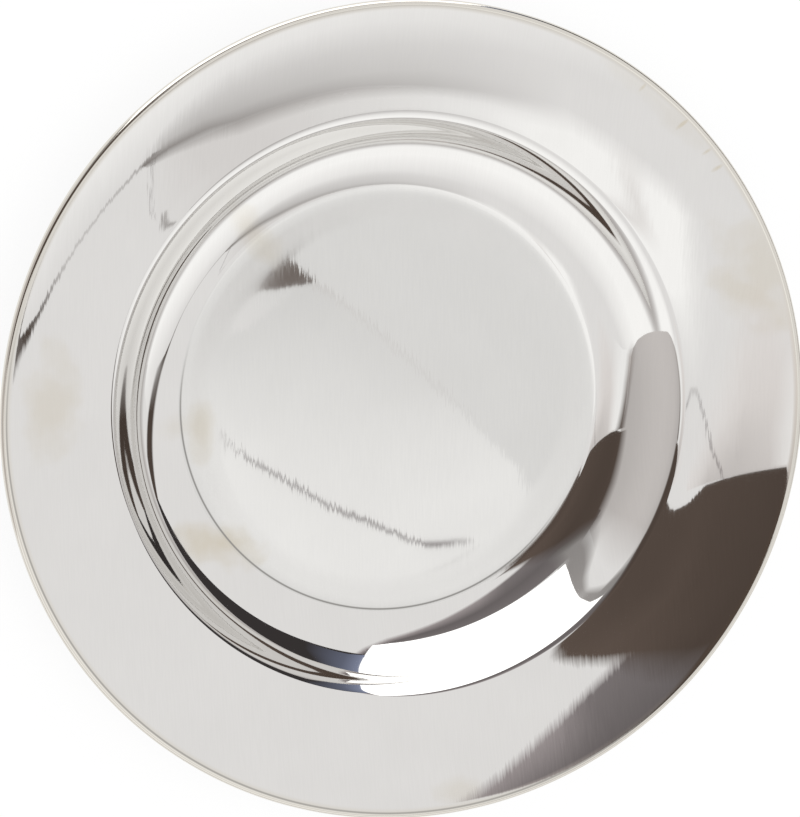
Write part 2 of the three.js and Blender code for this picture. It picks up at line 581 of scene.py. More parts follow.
def press_rim(sheet):
    """The rim: a straight land, a dish that steepens until it runs into the curl, and the curl itself."""
    board = sheet.board
    given = sheet.given
    sheet.add_straight(given["Rim Land Width"], given["Rim Inner Slope"], LAND_STEPS)
    outer_sine = board.math("SINE", given["Rim Outer Slope"])
    inner_sine = board.math("SINE", given["Rim Inner Slope"])
    curl_radius = board.math("MULTIPLY_ADD", given["Curl Bore"], 0.5, sheet.thickness)
    curl_reach = board.math("MULTIPLY", curl_radius, board.math("ADD", outer_sine, 1.0))
    rim_end = board.math("SUBTRACT", board.math("MULTIPLY", given["Plate Diameter"], 0.5), curl_reach)
    rim_width = board.math("SUBTRACT", rim_end, board.parts(sheet.end)["X"])
    rim_radius = board.math("DIVIDE", rim_width, board.math("SUBTRACT", outer_sine, inner_sine))
    sheet.add_round(rim_radius, given["Rim Inner Slope"], given["Rim Outer Slope"], RIM_STEPS)
    last_slope = board.math("SUBTRACT", given["Rim Outer Slope"], given["Curl Turn"])
    sheet.add_round(board.negative(curl_radius), given["Rim Outer Slope"], last_slope, CURL_STEPS)
    sheet.close(last_slope)


def plate_tree(steel):
    """The whole plate: pressed, welded, shaded smooth up to its sharp edges, and given its steel."""
    sizes = {name.replace("_", " ").title(): FLOAT for name in PlateSizes.__annotations__}
    board, given, result = geometry_group("Pressed plate", sizes, {"Plate": GEOMETRY})
    sheet = PressedSheet(board, given)
    press_floor(sheet)
    press_wall(sheet)
    press_rim(sheet)
    joined = board.joined(sheet.skins)
    welded = board.add("GeometryNodeMergeByDistance", {"Geometry": joined, "Distance": WELD_DISTANCE})
    smooth = board.add("GeometryNodeSetShadeSmooth", {"Geometry": welded.outputs[0], "Shade Smooth": True})
    angle = board.add("GeometryNodeInputMeshEdgeAngle").outputs["Unsigned Angle"]
    sharp = board.add(
        "GeometryNodeSetShadeSmooth",
        {
            "Geometry": smooth.outputs[0],
            "Selection": board.math("GREATER_THAN", angle, SHARP_ANGLE),
            "Shade Smooth": False,
        },
        domain="EDGE",
    )
    realized = board.add("GeometryNodeRealizeInstances", {"Geometry": sharp.outputs[0]})
    dressed = board.add("GeometryNodeSetMaterial", {"Geometry": realized.outputs[0], "Material": steel})
    board.feed(result.inputs["Plate"], dressed.outputs[0])
    board.lay_out()
    return board.tree


def rolling_grain_group():
    """Fine straight streaks along Y that tilt the surface to either side."""
    board, given, result = shader_group(
        "Rolling grain",
        {"Place": VECTOR, "Normal": VECTOR, "Pitch": FLOAT, "Length": FLOAT, "Tilt": FLOAT},
        {"Normal": VECTOR, "Streak": FLOAT},
    )
    streak_scale = board.point(
        board.math("DIVIDE", 1.0, given["Pitch"]), board.math("DIVIDE", 1.0, given["Length"]), 0.0
    )
    stretched = board.vector("MULTIPLY", given["Place"], streak_scale)
    streaks = board.noise(stretched, 1.0, STREAK_DETAIL, STREAK_BREAKUP, "2D")
    swing = board.math("MULTIPLY_ADD", streaks, STREAK_SWING, -STREAK_SWING / 2)
    sideways = board.point(board.math("MULTIPLY", swing, given["Tilt"]), 0.0, 0.0)
    tilted = board.vector("NORMALIZE", board.vector("ADD", given["Normal"], sideways))
    board.feed(result.inputs["Normal"], tilted)
    board.feed(result.inputs["Streak"], streaks)
    board.lay_out()
    return board.tree


def water_mark_group():
    """A dried drop: a soft stain with a wavy outline and a faint tide line."""
    board, given, result = shader_group(
        "Water mark",
        {
            "Place": VECTOR,
            "Centre": VECTOR,
            "Width": FLOAT,
            "Length": FLOAT,
            "Turn": FLOAT,
            "Strength": FLOAT,
        },
        {"Stain": FLOAT},
    )
    offset = board.vector("SUBTRACT", given["Place"], given["Centre"])
    turned = board.add(
        "ShaderNodeVectorRotate",
        {"Vector": offset, "Angle": board.negative(given["Turn"])},
        rotation_type="Z_AXIS",
    ).outputs["Vector"]
    shape = board.point(
        board.math("DIVIDE", 2.0, given["Width"]), board.math("DIVIDE", 2.0, given["Length"]), 0.0
    )
    away = board.length(board.vector("MULTIPLY", turned, shape))
    waves = board.noise(given["Place"], WAVE_SCALE, WAVE_DETAIL, WAVE_BREAKUP, "2D")
    wavy = board.math("ADD", away, board.math("MULTIPLY_ADD", waves, WAVE_SWING, -WAVE_SWING / 2))
    body = board.ramp(wavy, *STAIN_RANGE)
    tide = board.math("MULTIPLY", board.ramp(wavy, *TIDE_RANGE), body)
    stain = board.math("MULTIPLY_ADD", tide, TIDE_STRENGTH, body)
    board.feed(result.inputs["Stain"], board.math("MULTIPLY", stain, given["Strength"]))
    board.lay_out()
    return board.tree


def new_material(name):
    """A material without nodes yet, and its board."""
    material = bpy.data.materials.new(name)
    material.use_nodes = True
    material.node_tree.nodes.clear()
    return material, NodeBoard(material.node_tree)


def finish_material(board, surface):
    """Shows a surface and sets the material's nodes in order."""
    output = board.add("ShaderNodeOutputMaterial")
    board.feed(output.inputs["Surface"], surface)
    board.lay_out()


def standing_ring_start(sizes):
    """The radius where the floor's edge is level and the standing ring starts."""
    floor_edge = sizes.floor_diameter / 2
    crown = (floor_edge**2 + sizes.floor_rise**2) / (2 * sizes.floor_rise)
    return floor_edge + sizes.floor_edge_radius * floor_edge / crown


def heel_end(sizes):
    """The radius of the crease where the heel runs into the toe."""
    ring_end = standing_ring_start(sizes) + sizes.standing_ring_width
    return ring_end + sizes.heel_radius * math.sin(sizes.heel_slope)


def ring_mask(board, radius, middle, half_width):
    """A soft ring: full at its middle radius, and nothing beyond its half width."""
    off = board.math("ABSOLUTE", board.math("SUBTRACT", radius, middle))
    return board.ramp(off, half_width, 0.0)


def rolled_grain(board, finish, place, radius):
    """The streaks of the rolled sheet. They tilt the floor, the wall and the rim by different amounts."""
    inner_tilt = board.ramp(
        radius, FLOOR_GRAIN_END, WALL_GRAIN_START, finish.floor_grain_tilt, finish.wall_grain_tilt
    )
    return board.group(
        rolling_grain_group(),
        {
            "Place": place,
            "Normal": board.add("ShaderNodeNewGeometry").outputs["Normal"],
            "Pitch": finish.grain_pitch,
            "Length": finish.grain_length,
            "Tilt": board.ramp(radius, WALL_GRAIN_END, RIM_GRAIN_START, inner_tilt, finish.rim_grain_tilt),
        },
    )


def water_stain(board, level_place, radius):
    """The stain of the rolled edge and of the water marks, whichever is stronger."""
    water_mark = water_mark_group()
    stain = board.ramp(radius, EDGE_STAIN_START, EDGE_STAIN_FULL, 0.0, EDGE_STAIN)
    for drop in WATER_MARKS:
        mark = board.group(
            water_mark,
            {
                "Place": level_place,
                "Centre": (*drop.middle, 0.0),
                "Width": drop.width,
                "Length": drop.length,
                "Turn": math.radians(drop.turn),
                "Strength": drop.strength,
            },
        )
        stain = board.math("MAXIMUM", stain, mark["Stain"])
    return stain


def painted_shade_lines(board, sizes, level_place, radius):
    """Painted shade: a dark line in the crease and a thin one inside the rolled edge, on one side of the
    plate.
    """
    crease_line = ring_mask(board, radius, heel_end(sizes), CREASE_WIDTH)
    edge_ring = ring_mask(board, radius, EDGE_LINE_RADIUS, EDGE_LINE_WIDTH)
    lines = board.math("MAXIMUM", crease_line, board.math("MULTIPLY", edge_ring, EDGE_LINE))
    outwards = board.vector("NORMALIZE", level_place)
    towards = board.dot(outwards, direction_degrees(CREASE_AZIMUTH, 90))
    return board.math("MULTIPLY", lines, board.ramp(towards, *CREASE_RANGE))


def floor_haze(board, sizes, radius):
    """The faint haze round the edge of the floor."""
    start = sizes.floor_diameter / 2 - HAZE_REACH
    end = heel_end(sizes) + HAZE_OVERRUN
    return ring_mask(board, radius, (start + end) / 2, (end - start) / 2)


def ring_scuffs(board, sizes, radius, streak):
    """The scuffs on the ring that the plate stands on."""
    middle = standing_ring_start(sizes) + sizes.standing_ring_width / 2
    ring = ring_mask(board, radius, middle, sizes.standing_ring_width)
    return board.math("MULTIPLY", ring, board.ramp(streak, *SCUFF_RANGE))


def bright_steel_material(finish, sizes):
    """Bright rolled steel, mirror-like above and satin below: grain, water marks, scuffs and painted shade
    lines.
    """
    material, board = new_material(STEEL_SLOT)
    place = board.add("ShaderNodeTexCoord").outputs["Object"]
    across = board.parts(place)
    level_place = board.point(across["X"], across["Y"], 0.0)
    radius = board.length(level_place)
    underside = board.add("ShaderNodeAttribute", attribute_name=UNDERSIDE).outputs["Fac"]
    topside = board.math("SUBTRACT", 1.0, underside)

    grain = rolled_grain(board, finish, place, radius)
    streak = grain["Streak"]
    cloud = board.noise(place, CLOUD_SCALE, CLOUD_DETAIL, CLOUD_BREAKUP, "3D")
    stain = board.math("MULTIPLY", water_stain(board, level_place, radius), topside)
    # The dark lines in the crease and inside the rolled edge, on one side, are painted shade.
    painted_shade_mask = board.math("MULTIPLY", painted_shade_lines(board, sizes, level_place, radius), topside)
    scuff = board.math("MULTIPLY", ring_scuffs(board, sizes, radius, streak), underside)

    streak_shade = board.ramp(streak, *STREAK_RANGE, DARKEST_SHADE, 1.0)
    cloud_shade = board.ramp(cloud, *CLOUD_RANGE, DARKEST_SHADE, 1.0)
    scuffed_shade = board.math("MULTIPLY_ADD", scuff, -SCUFF_SHADE, cloud_shade)
    steel = board.scaled((*finish.steel_color,), board.math("MULTIPLY", streak_shade, scuffed_shade))
    stained = board.mix("RGBA", stain, steel, (*finish.mark_color, 1.0))
    # Paints that shade into the steel's colour.
    color = board.mix("RGBA", painted_shade_mask, stained, (*finish.tarnish_color, 1.0))

    smeared = board.math("MULTIPLY_ADD", stain, STAIN_ROUGHNESS, finish.bright_roughness)
    hazy = board.math("MULTIPLY_ADD", floor_haze(board, sizes, radius), HAZE_ROUGHNESS, smeared)
    bright = board.math("MULTIPLY_ADD", streak, STREAK_ROUGHNESS, hazy)
    satin = board.math("MULTIPLY_ADD", cloud, CLOUD_ROUGHNESS, finish.dull_roughness)
    dull = board.math("MULTIPLY_ADD", scuff, SCUFF_ROUGHNESS, satin)
    roughness = board.mix("FLOAT", underside, bright, dull)

    shader = board.add(
        "ShaderNodeBsdfPrincipled",
        {"Base Color": color, "Metallic": 1.0, "Roughness": roughness, "Normal": grain["Normal"]},
    )
    finish_material(board, shader.outputs[0])
    return material


class CAMPINGPLATE_OT_pressed_plate(bpy.types.Operator):
    """Turn the pressed plate and give it its bright steel"""

    bl_idname = "camping_plate.pressed_plate"
    bl_label = "Pressed Plate"

    def execute(self, context):
        sizes = context.scene.camping_plate_sizes
        steel = bright_steel_material(context.scene.camping_plate_finish, sizes)
        tree = plate_tree(steel)
        maker = bpy.data.objects.new("plate_maker", bpy.data.meshes.new("plate_maker"))
        context.scene.collection.objects.link(maker)
        modifier = maker.modifiers.new("Pressed plate", "NODES")
        modifier.node_group = tree
        for item in tree.interface.items_tree:
            if item.in_out == "INPUT":
                modifier[item.identifier] = getattr(sizes, item.name.lower().replace(" ", "_"))
        depsgraph = context.evaluated_depsgraph_get()
        mesh = bpy.data.meshes.new_from_object(maker.evaluated_get(depsgraph), depsgraph=depsgraph)
        bpy.data.objects.remove(maker)
        mesh.name = "steel_plate"
        if not mesh.polygons:
            raise RuntimeError("the plate's node tree made no faces")
        plate = bpy.data.objects.new("steel_plate", mesh)
        context.scene.collection.objects.link(plate)
        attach(plate, PLATE_BODY)
        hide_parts(PLATE_NODE)
        return {"FINISHED"}


def emission_when_seen(board, color, background, share):
    """Mixes white light into a surface for the camera, and for what mirrors or shows it."""
    light_path = board.add("ShaderNodeLightPath").outputs
    seen = board.math("MAXIMUM", light_path["Is Camera Ray"], light_path["Is Glossy Ray"])
    seen = board.math("MAXIMUM", seen, light_path["Is Transmission Ray"])
    glow = board.add("ShaderNodeEmission", {"Color": background, "Strength": 1.0})
    diffuse = board.add("ShaderNodeBsdfDiffuse", {"Color": color})
    mixed = board.add("ShaderNodeMixShader", {"Fac": board.math("MULTIPLY", seen, share)})
    board.feed(mixed.inputs[1], diffuse.outputs[0])
    board.feed(mixed.inputs[2], glow.outputs[0])
    return mixed.outputs[0]


def floor_material(look):
    """Plain pale floor that stays white in the picture and keeps a faint shadow."""
    material, board = new_material("pale_floor")
    surface = emission_when_seen(
        board, (*look.floor_color, 1.0), (1.0, 1.0, 1.0, 1.0), 1.0 - FLOOR_SHADOW_SHARE
    )
    finish_material(board, surface)
    return material


def panel_material():
    """A studio panel that glows in its own tone, and thins out where its density falls."""
    material, board = new_material("studio_panel")
    tone = board.add("ShaderNodeAttribute", attribute_name=PANEL_TONE).outputs
    glow = board.add("ShaderNodeEmission", {"Color": tone["Color"], "Strength": 1.0})
    clear = board.add("ShaderNodeBsdfTransparent")
    mixed = board.add("ShaderNodeMixShader", {"Fac": tone["Alpha"]})
    board.feed(mixed.inputs[1], clear.outputs[0])
    board.feed(mixed.inputs[2], glow.outputs[0])
    finish_material(board, mixed.outputs[0])
    return material


def add_stage_mesh(context, name, points, faces, material):
    """A mesh that belongs to the studio and not to the plate."""
    mesh = bpy.data.meshes.new(name)
    mesh.from_pydata(points, [], faces)
    mesh.materials.append(material)
    made = bpy.data.objects.new(name, mesh)
    context.scene.collection.objects.link(made)
    return made


def filled_in(items, blend):
    """Puts blended items between each two neighbours."""
    finer = []
    for first, second in zip(items, items[1:]):
        finer += [blend(first, second, cut / PANEL_CUTS) for cut in range(PANEL_CUTS)]
    return [*finer, items[-1]]


def blend_corners(first, second, share):
    return first.lerp(second, share)


def blend_rows(first, second, share):
    return [blend_corners(*corners, share) for corners in zip(first, second)]


def panel_corner(panel, row, azimuth, tilt, *own):
    """The direction, the tone and the density of a panel's corner, in one vector."""
    shade, density = own or (row.shade, row.density)
    tone = (channel * shade for channel in panel.tone)
    return Vector((*direction_degrees(azimuth, tilt), *tone, density))


def add_panel(context, panel, order, material):
    """A panel that shows only in reflections: a fine net between its rows of directions."""
    distance = STUDIO_RADIUS - order * PANEL_SPACING
    rows = [[panel_corner(panel, row, *point) for point in row.points] for row in panel.rows]
    net = filled_in([filled_in(row, blend_corners) for row in rows], blend_rows)
    across = len(net[0])
    corners = [corner for row in net for corner in row]
    points = [Vector(corner[:3]).normalized() * distance for corner in corners]
    starts = [index for index in range(len(points) - across) if (index + 1) % across]
    faces = [(start, start + 1, start + across + 1, start + across) for start in starts]
    made = add_stage_mesh(context, panel.name, points, faces, material)
    attribute = made.data.attributes.new(PANEL_TONE, "FLOAT_COLOR", "POINT")
    for item, corner in zip(attribute.data, corners):
        item.color = corner[3:]
    made.visible_camera = False
    made.visible_diffuse = False
    made.visible_shadow = False


def rod(name, tone, path):
    """A thin soft bar along a path of azimuth, tilt, half width in tilt, and density."""
    above = [(azimuth, tilt - half) for azimuth, tilt, half, _ in path]
    along = [(azimuth, tilt, 1.0, density) for azimuth, tilt, _, density in path]
    below = [(azimuth, tilt + half) for azimuth, tilt, half, _ in path]
    return Panel(name, tone, (Row(1.0, 0.0, above), Row(1.0, 1.0, along), Row(1.0, 0.0, below)))


def ceiling_panels(look):
    """What the floor and the inner rim mirror: a bright ceiling with a bar across it, and shaded sides."""
    back_shade = Panel(
        "back_shade",
        look.fill_color,
        (
            Row(0.745, 0.0, ((390, 4), (375, 15), (360, 30))),
            Row(0.745, 1.0, ((368, 7), (354, 16), (344, 27))),
            Row(0.745, 1.0, ((340, 9), (330, 17), (322, 27))),
            Row(0.745, 0.0, ((325, 9), (318, 18), (312, 29))),
        ),
    )
    ceiling = Panel(
        "ceiling",
        look.fill_color,
        (
            Row(0.8, 1.0, (
                (342.9, 11.3, 0.7, 1), (334.4, 17.05, 0.75, 1), (329.6, 22.7, 0.87, 1), (318, 29),
                (305, 36), (306, 43, 0.8, 0),
            )),
            Row(0.88, 1.0, (
                (325, 9.5, 0.73, 1), (314, 14, 0.84, 1), (309, 19), (303, 25), (292, 33, 0.94, 1),
                (294, 40, 0.9, 0),
            )),
            Row(0.97, 1.0, (
                (290, 7, 0.75, 1), (278, 12), (272, 18), (271, 23), (271, 32), (271, 36.5, 0.95, 0),
            )),
            Row(0.98, 1.0, (
                (235, 8), (239, 14), (241, 18), (243, 22), (247, 28.5), (251, 32.5, 0.98, 0),
            )),
            Row(0.8, 0.0, ((208, 9), (215, 14), (221, 19.6), (231, 25.5), (240, 31), (251, 35))),
        ),
    )
    ceiling_edge = rod("ceiling_edge", look.wall_color, (
        (342.7, 11.5, 0.5, 0.5), (338.6, 14.3, 0.5, 0.35), (334.7, 17.3, 0.5, 0.25), (331, 21, 0.5, 0),
    ))
    ceiling_bar = Panel(
        "ceiling_bar",
        look.wall_color,
        (
            Row(1.15, 0.0, ((248, 21.5), (252.5, 24), (255, 27.5), (255.5, 31), (255, 36))),
            Row(1.2, 0.5, (
                (252, 21.5, 1.2, 0), (257, 24), (258.9, 27), (259.7, 29.5, 1.2, 0.35), (260, 34, 1.3, 0),
            )),
            Row(1.15, 0.0, ((256, 20), (261.5, 23.5), (263, 26.5), (264, 29), (265, 33))),
        ),
    )
    side_shade = Panel(
        "side_shade",
        look.wall_color,
        (
            Row(1.05, 1.0, (
                (182.2, 11, 1.4, 0.6), (182.5, 14.2), (182.5, 20), (182.5, 27, 1.15, 1),
                (182.5, 32, 1.3, 0.8),
            )),
            Row(1.08, 1.0, (
                (188, 11, 1.4, 0.4), (190, 15, 1.2, 0.9), (189, 20), (188, 27, 1.2, 0.9),
                (187, 33, 1.3, 0.5),
            )),
            Row(1.3, 0.9, (
                (196, 11.5, 1.4, 0), (200, 17, 1.35, 0.6), (202, 22.5), (199, 29), (194, 35, 1.3, 0.3),
            )),
            Row(1.35, 0.7, (
                (204, 12, 1.4, 0), (208, 18, 1.4, 0.3), (212, 24), (212, 29.5), (203, 36, 1.3, 0.2),
            )),
            Row(1.4, 0.0, ((212, 13), (217, 19), (224, 26), (226, 33), (212, 40))),
        ),
    )
    return back_shade, ceiling, ceiling_edge, ceiling_bar, side_shade


def fill_panels(look):
    """The white fill low on the far side, the glow beside the beam and the grey horizon."""
    low_fill = Panel(
        "low_fill",
        look.fill_color,
        (
            Row(1.0, 0.0, (
                (205, 44), (225, 43), (250, 43), (275, 45), (295, 49), (310, 54), (321, 55.5),
                (338, 60.5), (352, 72),
            )),
            Row(1.0, 0.5, (
                (205, 49), (225, 50), (250, 52), (275, 54), (293, 58), (307, 60), (319, 61), (334, 66),
                (347, 78),
            )),
            Row(1.0, 1.0, (
                (205, 58), (225, 62), (250, 66), (275, 67), (290, 69), (304, 71), (315, 73), (328, 75),
                (343, 79),
            )),
            Row(1.0, 1.0, (
                (205, 79), (225, 78), (250, 77), (275, 76), (290, 77), (304, 78), (315, 78), (328, 78),
                (343, 79),
            )),
            Row(1.0, 0.0, (
                (205, 83), (225, 82), (250, 81), (275, 81), (290, 81), (304, 81), (315, 81), (328, 81),
                (343, 82),
            )),
        ),
    )
    beam_glow = Panel(
        "beam_glow",
        look.fill_color,
        (
            Row(0.9, 0.0, ((183, 26), (192, 26), (204, 29), (214, 38))),
            Row(0.9, 0.9, ((183, 31), (191, 32), (200, 36), (207, 44))),
            Row(0.9, 0.9, ((183, 37), (189, 39), (197, 43), (205, 50))),
        ),
    )
    horizon = Panel(
        "horizon",
        look.wall_color,
        (
            Row(0.85, 0.0, ((206, 80), (245, 79), (280, 79), (320, 80), (360, 78), (425, 78))),
            Row(0.8, 0.9, ((206, 84), (245, 83), (280, 83), (320, 84), (360, 81), (425, 81))),
            Row(0.8, 1.0, ((206, 92), (245, 92), (280, 92), (320, 92), (360, 92), (425, 92))),
        ),
    )
    return low_fill, beam_glow, horizon


def wall_panels(look):
    """The warm grey wall panel with a dark shadow along its top."""
    wall = Panel(
        "wall_panel",
        look.wall_color,
        (
            Row(0.85, 1.0, (
                (146, 40, 0.8, 0.8), (156, 37), (170, 36.5), (182, 38), (190, 42), (197, 45), (203, 50),
                (205, 54),
            )),
            Row(0.95, 1.0, (
                (141, 60, 1.0, 0), (154, 58), (170, 58), (182, 58), (190, 58), (197, 58), (203, 58),
                (206, 60),
            )),
            Row(1.08, 1.0, (
                (138, 89, 1.0, 0), (154, 89), (170, 89), (182, 89), (190, 89), (197, 89), (203, 89),
                (206.5, 89),
            )),
        ),
    )
    shadow = Panel(
        "wall_shadow",
        look.beam_color,
        (
            Row(1.0, 0.0, ((182, 32), (190, 35.5), (198, 39.5), (205, 46.5), (208, 55))),
            Row(1.0, 0.0, (
                (182, 37.5, 1, 1), (189, 40, 1.3, 0.9), (196, 43.5, 1.8, 0.7), (203, 49, 2.5, 0.5),
                (206, 56),
            )),
            Row(1.0, 0.0, ((182, 42), (188, 43.5), (194, 46.5), (200, 52), (204, 58))),
        ),
    )
    return wall, shadow


def softbox_panels(look):
    """The large softbox with its grey hood, and the strip of hood beside it."""
    hood = Panel(
        "softbox_hood",
        look.hood_color,
        (
            Row(1.7, 0.0, (
                (62.5, 60), (63.5, 53), (67, 43), (73, 36), (80, 30.3), (90, 23.7), (100, 19.7),
                (114, 17), (130, 16),
            )),
            Row(1.6, 1.0, (
                (63.5, 62), (65, 54), (69, 44.5), (75, 38), (82, 32), (92, 25.5), (102, 21.5, 1.0, 1),
                (116, 19, 0.9, 1), (132, 18, 0.7, 1),
            )),
            Row(0.7, 1.0, (
                (64.5, 62), (66, 52.5), (71, 45), (77, 40.5), (84, 37.5), (95, 34), (107, 31), (133, 29),
                (152, 31),
            )),
            Row(0.9, 1.0, (
                (66, 62), (67, 51), (73, 46.5), (80, 44), (88, 42.5), (99, 41), (112, 40.5), (134, 42),
                (153, 42),
            )),
        ),
    )
    strip = Panel(
        "hood_strip",
        look.wall_color,
        (
            Row(0.3, 1.0, ((124, 28, 0.3, 0), (132, 30), (141, 35), (149, 41))),
            Row(0.5, 1.0, ((127, 37, 0.4, 0), (134, 38), (140, 40), (153, 44, 0.4, 0.1))),
            Row(0.52, 1.0, ((129, 47), (134, 47), (139, 48), (150, 47.5, 0.5, 0))),
            Row(0.55, 1.0, ((128, 60), (132, 60), (136, 60), (142, 60, 0.6, 0))),
            Row(0.6, 1.0, ((126, 75), (130, 75), (131, 75), (134, 75, 0.6, 0))),
            Row(0.6, 0.5, ((126, 86), (128, 86), (129, 86), (130, 86, 0.6, 0))),
        ),
    )
    softbox = Panel(
        "key_softbox",
        look.softbox_color,
        (
            Row(1.0, 1.0, (
                (65.5, 50.5), (70, 47.5), (80, 44.5), (90, 42.5), (100, 41.2), (115, 41), (131.5, 43.5),
            )),
            Row(1.0, 1.0, (
                (65.3, 70), (70, 70), (80, 70), (90, 70), (100, 70), (115, 70), (129.2, 70),
            )),
            Row(1.0, 1.0, ((65, 89), (70, 89), (80, 89), (90, 89), (100, 89), (115, 89), (127.5, 89))),
        ),
    )
    return hood, strip, softbox


def beam_panels(look):
    """The dark beam overhead."""
    beam = Panel(
        "dark_beam",
        look.beam_color,
        (
            Row(1.2, 0.9, ((343.2, 11.42), (343.1, 11.41), (343, 11.4), (342.8, 11.4))),
            Row(1.2, 0.9, ((346, 10.4), (344.5, 10.3), (341, 10.15), (338.6, 9.95))),
            Row(1.4, 0.5, ((349, 9.4), (346, 9.3), (341, 9.1), (335, 8.9))),
            Row(1.0, 1.0, ((35.4, 6.4), (50, 4), (110, 1.5), (225, 3.2))),
            Row(1.0, 1.0, ((76, 9.3, 1, 0), (86, 8.6), (125, 8), (172, 8.8))),
            Row(1.0, 1.0, ((83, 13.1, 1, 0), (91, 12.9, 1.2, 1), (135, 12), (176.5, 11.8))),
            Row(1.0, 1.0, ((97, 15.6, 1, 0), (106, 15.4, 1.25, 1), (140, 16, 1.1, 1), (182, 14.2))),
            Row(0.95, 1.0, ((109, 18.4, 1, 0), (120, 18.8, 1.15, 1), (148, 19), (182.5, 20))),
            Row(0.85, 1.0, ((118, 24.5, 0.85, 0), (134, 26), (154, 28), (182.5, 30))),
            Row(0.85, 1.0, ((130, 33.5, 0.85, 0), (146, 33.5), (162, 34), (182, 34.5))),
            Row(0.9, 1.0, ((141, 41, 0.9, 0), (150, 39.5), (163, 38.8), (181, 38))),
            Row(0.9, 0.0, ((143, 46), (151, 47), (163, 46), (181, 44))),
        ),
    )
    return (beam,)


def flag_panels(look):
    """The black flag low beside the softbox, with its blue side."""
    flag = Panel(
        "black_flag",
        look.flag_color,
        (
            Row(1.0, 1.0, (
                (5, 76.4), (10, 74.2), (18.2, 71.7), (26.8, 68.6), (40.7, 64.2), (50.7, 61.6), (65, 60),
            )),
            Row(1.0, 1.0, (
                (5, 77.8), (10, 78.1), (18.6, 78.6), (27.7, 79.6), (39, 80.7), (51, 83), (65, 87),
            )),
        ),
    )
    flag_side = Panel(
        "flag_side",
        look.flag_side_color,
        (
            Row(0.9, 0.0, ((50, 62.6), (51, 70), (54, 80), (55, 88))),
            Row(0.8, 0.8, ((61, 62), (61, 70), (61, 80), (61, 88))),
            Row(1.3, 1.0, ((65.5, 60.5), (65.5, 70), (65.5, 80), (65.5, 88))),
        ),
    )
    return flag, flag_side


def boom_panels(look):
    """The boom with its head and the shade round it."""
    boom_shade = Panel(
        "boom_shade",
        look.wall_color,
        (
            Row(1.1, 0.0, ((286, 29), (298, 31), (308, 33), (318, 37), (326, 41))),
            Row(1.1, 0.4, (
                (288, 33, 1.1, 0), (300, 36, 1.1, 0.15), (310.5, 40), (318, 43), (325, 44.5, 1.1, 0.05),
            )),
            Row(1.1, 0.4, (
                (290, 36, 1.1, 0), (301, 40, 1.1, 0.2), (312, 45), (317, 48), (322, 50.4, 1.1, 0.05),
            )),
            Row(1.1, 0.3, (
                (290, 38, 1.1, 0), (300, 42, 1.1, 0.2), (312, 47), (317, 50.5), (320.4, 53.4, 1.1, 0.1),
            )),
        ),
    )
    boom_head = Panel(
        "boom_head",
        look.beam_color,
        (
            Row(1.0, 0.0, (
                (321, 53), (318.8, 50.8), (315.2, 46.9), (312.4, 44), (308, 41.8), (300.8, 39.4),
                (291.4, 36.6), (280.8, 34), (272, 33),
            )),
            Row(1.0, 0.62, (
                (321.4, 54.4, 1, 0.85), (318.5, 52.9, 1, 0.7), (314.4, 50), (311.7, 47.4, 1, 0.58),
                (307.1, 45, 1, 0.5), (299.9, 42.3, 1, 0.4), (290.6, 38.8, 1, 0.3),
                (279.8, 36.2, 1, 0.15), (271.6, 35.2, 1, 0),
            )),
            Row(1.0, 0.36, (
                (321.6, 55, 1, 0), (318.4, 54.6, 1, 0.3), (314.2, 52.2), (311.2, 49.6),
                (306.5, 47.4, 1, 0.31), (299, 44.8, 1, 0.24), (289, 41.8, 1, 0.17), (278, 38.6, 1, 0.1),
                (271, 37, 1, 0),
            )),
            Row(1.0, 0.0, (
                (321.4, 55.6), (318, 57), (313.5, 58), (310, 58), (305, 57.5), (297, 55.5), (286, 52),
                (275, 47), (269, 43),
            )),
        ),
    )
    boom = Panel(
        "boom",
        look.beam_color,
        (
            Row(1.0, 0.0, (
                (319, 53.6), (327, 55.5), (332.7, 57.1), (337, 58.2), (340, 59.2), (343.5, 60.8),
                (350, 64.2), (357.9, 69.4), (366, 76),
            )),
            Row(0.8, 1.0, (
                (319.3, 54.1, 1, 0.5), (327, 55.8, 1, 0.3), (332.7, 57.4, 1, 0.3),
                (337.3, 58.7, 0.8, 0.8), (340, 60), (343.3, 62.2, 0.8, 0.85), (350.2, 66.4),
                (357.9, 71.2), (366, 76.3),
            )),
            Row(0.8, 1.0, (
                (319.6, 54.5, 1, 0.5), (327, 56, 1, 0.3), (332.7, 57.7, 1, 0.3), (337.6, 59.2, 0.8, 0.8),
                (340.2, 61.2), (343.2, 65.4, 0.8, 0.6), (350.4, 71), (358, 76.2), (366, 77.8),
            )),
            Row(1.0, 0.0, (
                (319.9, 54.9), (327, 56.3), (332.7, 58), (337.9, 59.6), (340.4, 61.9), (343, 67.6),
                (351, 72.8), (358, 77.4), (366, 78.2),
            )),
        ),
    )
    return boom_shade, boom_head, boom


